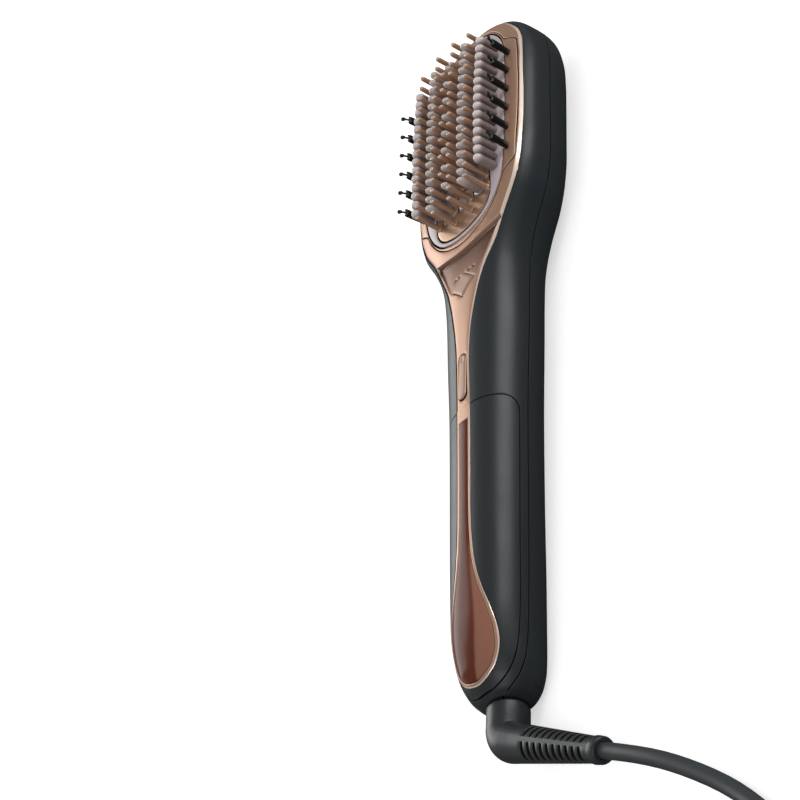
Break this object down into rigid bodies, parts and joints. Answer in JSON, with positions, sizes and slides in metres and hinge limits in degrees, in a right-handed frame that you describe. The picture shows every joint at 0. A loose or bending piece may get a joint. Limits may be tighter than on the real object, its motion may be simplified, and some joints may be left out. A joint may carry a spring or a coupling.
{
  "type": "steam_hair_straightener_brush",
  "caption": "Hand-held steam straightening brush: heated pin plate with clear steam windows, soft side blades and edge bristles, water tank in the handle, swivelling mains lead",
  "frame": {"origin": "middle of the brush's bounding box in plan, on the plane that its back rests on; the free lead and what is on it are left out of the box", "axes": "+Y along the handle to the tip of the head, +Z out of the bristle face, +X to the right seen from the bristle side with the head up"},
  "size_m": [0.1744, 0.4769, 0.0448],
  "materials": {
    "charcoal": "satin, soft sheen",
    "rose_gold": "satin rose-gold metallic",
    "plate_bronze": "satin bronze ceramic coat",
    "smoke_clear": "smoky clear, glossy",
    "lavender_silicone": "soft satin",
    "black_nylon": "glossy",
    "inner_black": "moulded",
    "cast_aluminium": "as cast",
    "tray_ivory": "moulded",
    "steel": "bright zinc",
    "heater_ceramic": "sleeved ceramic heater",
    "lens_smoke": "smoky, glossy",
    "led_white": "moulded lamp",
    "board_green": "varnished board",
    "hose_silicone": "translucent white silicone",
    "lead_sleeve": "glass-fibre sleeve",
    "copper_window": "copper-brown tinted, glossy",
    "contact_brass": "bare",
    "lead_rubber": "satin",
    "tie_fabric": "hook and loop",
    "pin_nickel": "nickel plated"
  },
  "bodies": {
    "housing": {"rear_shell": "charcoal", "front_shell": "charcoal", "front_bezel": "rose_gold", "pin_frame": "rose_gold", "heater_plate": "plate_bronze", "window_comb_left": "smoke_clear", "window_comb_centre": "smoke_clear", "window_comb_right": "smoke_clear", "guard_pad": "lavender_silicone", "bristle_strip_left": "black_nylon", "bristle_strip_right": "black_nylon", "face_carrier": "inner_black", "tact_switches": "inner_black", "pump": "inner_black", "steam_chamber": "cast_aluminium", "heater_tray": "tray_ivory", "contact_block": "tray_ivory", "valve_socket": "tray_ivory", "tray_screws": "steel", "board_screws": "steel", "saddle_screws": "steel", "heater_clip": "steel", "thermostat": "steel", "thermal_fuse": "steel", "power_spring": "steel", "key_springs": "steel", "ptc_heater": "heater_ceramic", "indicator_lens": "lens_smoke", "indicator_leds": "led_white", "control_board": "board_green", "inlet_hose": "hose_silicone", "steam_hose": "hose_silicone", "heater_leads": "lead_sleeve", "mains_leads": "lead_sleeve", "contact_fingers": "contact_brass"},
    "power_button": {"power_button": "rose_gold"},
    "steam_key": {"steam_key": "rose_gold", "key_light": "lens_smoke"},
    "tank": {"tank_body": "charcoal", "tank_trim": "rose_gold", "tank_window": "copper_window", "tank_valve": "hose_silicone", "tank_seal": "hose_silicone", "filler_plug": "hose_silicone"},
    "cord": {"swivel_bush": "inner_black", "slip_rings": "contact_brass", "cord_elbow": "lead_rubber", "mains_cord": "lead_rubber", "cord_coil": "lead_rubber", "coil_tie": "tie_fabric", "cord_tail": "lead_rubber", "plug_body": "lead_rubber", "plug_pins": "pin_nickel"}
  },
  "joints": [
    {"name": "power_press", "type": "slide", "parent": "housing", "child": "power_button", "axis": [0, 0, -1], "range_m": [0, 0.0008], "stiffness_N_per_m": 1200, "deforming": ["power_spring"]},
    {"name": "key_press", "type": "slide", "parent": "housing", "child": "steam_key", "axis": [0, 0, -1], "range_m": [0, 0.0008], "stiffness_N_per_m": 1200, "deforming": ["key_springs"]},
    {"name": "tank_lift", "type": "slide", "parent": "housing", "child": "tank", "axis": [0, 0, 1], "range_m": [0, 0.03]},
    {"name": "cord_swivel", "type": "hinge", "parent": "housing", "child": "cord", "pos_m": [0, -0.15, 0.01], "axis": [0, 1, 0], "continuous": true}
  ]
}
